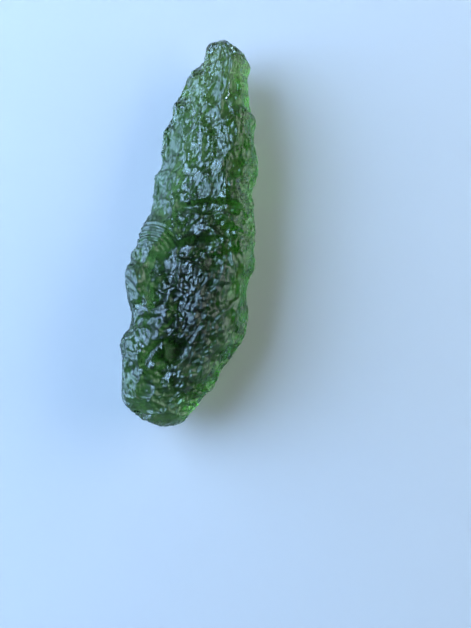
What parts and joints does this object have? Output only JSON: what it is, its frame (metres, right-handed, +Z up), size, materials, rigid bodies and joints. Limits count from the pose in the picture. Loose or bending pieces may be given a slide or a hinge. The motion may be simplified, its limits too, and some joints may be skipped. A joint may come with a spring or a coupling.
{
  "type": "moldavite",
  "caption": "Long tapering shard of deeply etched, see-through green natural glass that lies on its back.",
  "frame": {"origin": "centre of the shard's bounding box, on the surface that the shard lies on", "axes": "+Y along the shard from its broad foot to its narrow tip, +Z up out of its etched front, +X to the right seen from above with the tip away"},
  "size_m": [0.0126, 0.0386, 0.008],
  "materials": {
    "moldavite_glass": "natural bottle-green glass, etched all over into closely set glossy pits and ridges, see-through where it is thin"
  },
  "bodies": {
    "root": {"moldavite": "moldavite_glass"}
  },
  "joints": []
}
